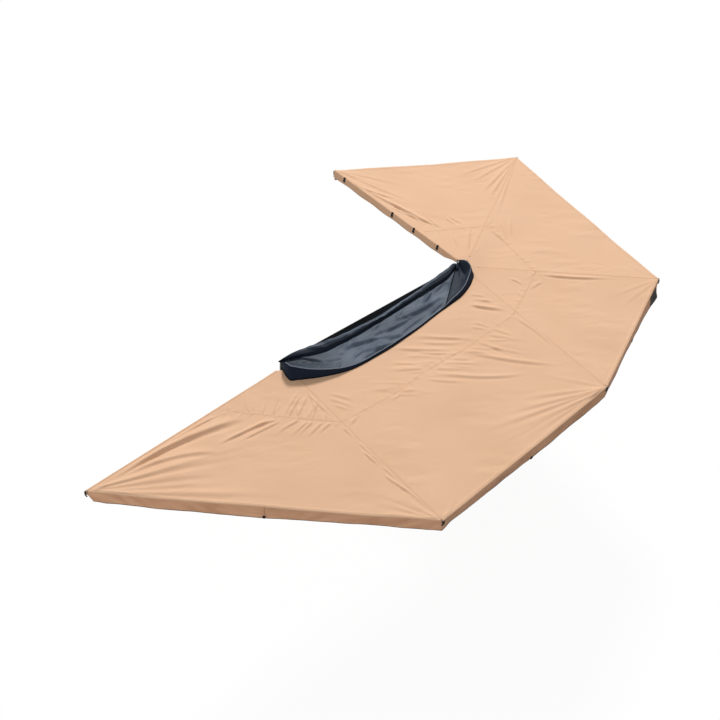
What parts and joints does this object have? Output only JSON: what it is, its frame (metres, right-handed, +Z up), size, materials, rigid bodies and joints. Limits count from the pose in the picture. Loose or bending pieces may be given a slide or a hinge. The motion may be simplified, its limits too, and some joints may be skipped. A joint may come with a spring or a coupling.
{
  "type": "vehicle side awning",
  "caption": "Free-standing wrap-around side awning: back rail with a hinge hub at each end, folding arms, sewn canopy panels with valances, and a travel cover thrown open.",
  "frame": {"origin": "middle of the middle bracket's foot, on its underside, where it sits on a roof rack", "axes": "+X towards the vehicle's front along the rail, +Y away from the vehicle's left side, +Z up"},
  "size_m": [6.4281, 4.3472, 0.3457],
  "materials": {
    "anodised_aluminium": "satin anodised extrusion",
    "cast_aluminium": "black powder coat over a casting",
    "coated_steel": "black powder coat",
    "zinc_plated": "zinc plated",
    "bush_polymer": "smooth",
    "moulded_nylon": "fine grain",
    "canopy_canvas": "coated ripstop weave",
    "cover_pvc": "satin coated cloth"
  },
  "bodies": {
    "base": {"mounting_rail": "anodised_aluminium", "rear_end_cap": "moulded_nylon", "front_end_cap": "moulded_nylon", "rear_bracket": "coated_steel", "middle_bracket": "coated_steel", "front_bracket": "coated_steel", "rear_bracket_lower_bolt": "zinc_plated", "rear_bracket_upper_bolt": "zinc_plated", "middle_bracket_lower_bolt": "zinc_plated", "middle_bracket_upper_bolt": "zinc_plated", "front_bracket_lower_bolt": "zinc_plated", "front_bracket_upper_bolt": "zinc_plated", "rear_hub_bracket": "cast_aluminium", "front_hub_bracket": "cast_aluminium", "rear_hub_inner_bolt": "zinc_plated", "rear_hub_outer_bolt": "zinc_plated", "front_hub_inner_bolt": "zinc_plated", "front_hub_outer_bolt": "zinc_plated", "arm_3_pivot_bolt": "zinc_plated", "arm_3_pivot_nut": "zinc_plated", "arm_2_pivot_bolt": "zinc_plated", "arm_2_pivot_nut": "zinc_plated", "canopy_side_panel": "canopy_canvas"},
    "arm_3": {"arm_3_knuckle": "cast_aluminium", "arm_3_tube": "anodised_aluminium", "arm_3_tip_cap": "moulded_nylon", "arm_3_bush": "bush_polymer", "arm_4_pivot_bolt": "zinc_plated", "arm_4_pivot_nut": "zinc_plated", "canopy_rear_corner_panel": "canopy_canvas"},
    "arm_4": {"arm_4_knuckle": "cast_aluminium", "arm_4_tube": "anodised_aluminium", "arm_4_tip_cap": "moulded_nylon", "arm_4_bush": "bush_polymer", "arm_5_pivot_bolt": "zinc_plated", "arm_5_pivot_nut": "zinc_plated", "canopy_rear_panel": "canopy_canvas"},
    "arm_5": {"arm_5_knuckle": "cast_aluminium", "arm_5_tube": "anodised_aluminium", "arm_5_tip_cap": "moulded_nylon", "arm_5_bush": "bush_polymer", "arm_6_pivot_bolt": "zinc_plated", "arm_6_pivot_nut": "zinc_plated", "canopy_far_panel": "canopy_canvas"},
    "arm_6": {"arm_6_knuckle": "cast_aluminium", "arm_6_tube": "anodised_aluminium", "arm_6_tip_cap": "moulded_nylon", "arm_6_bush": "bush_polymer"},
    "arm_2": {"arm_2_knuckle": "cast_aluminium", "arm_2_tube": "anodised_aluminium", "arm_2_tip_cap": "moulded_nylon", "arm_2_bush": "bush_polymer", "arm_1_pivot_bolt": "zinc_plated", "arm_1_pivot_nut": "zinc_plated", "canopy_front_panel": "canopy_canvas"},
    "arm_1": {"arm_1_knuckle": "cast_aluminium", "arm_1_tube": "anodised_aluminium", "arm_1_tip_cap": "moulded_nylon", "arm_1_bush": "bush_polymer"},
    "cover": {"travel_cover": "cover_pvc"}
  },
  "joints": [
    {"name": "arm_3_hinge", "type": "hinge", "parent": "base", "child": "arm_3", "pos_m": [-1.17, 0.0913, 0.078], "axis": [0, 0, -1], "range_deg": [0, 88.8], "deforming": ["canopy_side_panel"]},
    {"name": "arm_4_hinge", "type": "hinge", "parent": "arm_3", "child": "arm_4", "pos_m": [-1.20999, 0.092, 0.078], "axis": [0, 0, -1], "range_deg": [0, 49], "deforming": ["canopy_rear_corner_panel"]},
    {"name": "arm_5_hinge", "type": "hinge", "parent": "arm_4", "child": "arm_5", "pos_m": [-1.2366, 0.06213, 0.078], "axis": [0, 0, -1], "range_deg": [0, 71.3], "deforming": ["canopy_rear_panel"]},
    {"name": "arm_6_hinge", "type": "hinge", "parent": "arm_5", "child": "arm_6", "pos_m": [-1.21666, 0.02746, 0.078], "axis": [0, 0, -1], "range_deg": [0, 62.4], "deforming": ["canopy_far_panel"]},
    {"name": "arm_2_hinge", "type": "hinge", "parent": "base", "child": "arm_2", "pos_m": [1.17, 0.0913, 0.038], "axis": [0, 0, 1], "range_deg": [0, 89.7]},
    {"name": "arm_1_hinge", "type": "hinge", "parent": "arm_2", "child": "arm_1", "pos_m": [1.21, 0.09141, 0.038], "axis": [0, 0, 1], "range_deg": [0, 87.5], "deforming": ["canopy_front_panel"]},
    {"name": "cover_hinge", "type": "hinge", "parent": "base", "child": "cover", "pos_m": [0, 0.0348, 0.107], "axis": [1, 0, 0], "range_deg": [0, 100]}
  ],
  "couplings": [
    {"joint": "arm_2_hinge", "follows": "arm_3_hinge", "ratio": 1.01}
  ]
}
